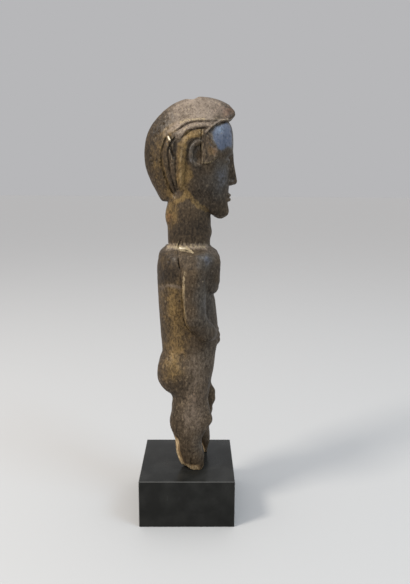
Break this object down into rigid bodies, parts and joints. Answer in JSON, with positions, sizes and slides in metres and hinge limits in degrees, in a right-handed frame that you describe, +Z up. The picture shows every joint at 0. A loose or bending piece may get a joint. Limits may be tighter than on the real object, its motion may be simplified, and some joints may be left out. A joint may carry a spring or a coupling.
{
  "type": "carved standing figure on a plinth",
  "caption": "Weathered hardwood standing figure with a high crested coiffure, bent arms and legs broken above the ankles, resting on a square black plinth.",
  "frame": {"origin": "centre of the plinth's underside", "axes": "+Z up along the figure, -Y the way the figure faces, +X towards its left side"},
  "size_m": [0.08, 0.0804, 0.3517],
  "materials": {
    "carved_wood": "aged dark patina, rubbed ochre brown on the back and edges, pitted on the legs, fresh light wood at the breaks",
    "black_plinth": "satin black stain with slightly worn edges"
  },
  "bodies": {
    "root": {"figure": "carved_wood", "plinth": "black_plinth"}
  },
  "joints": []
}
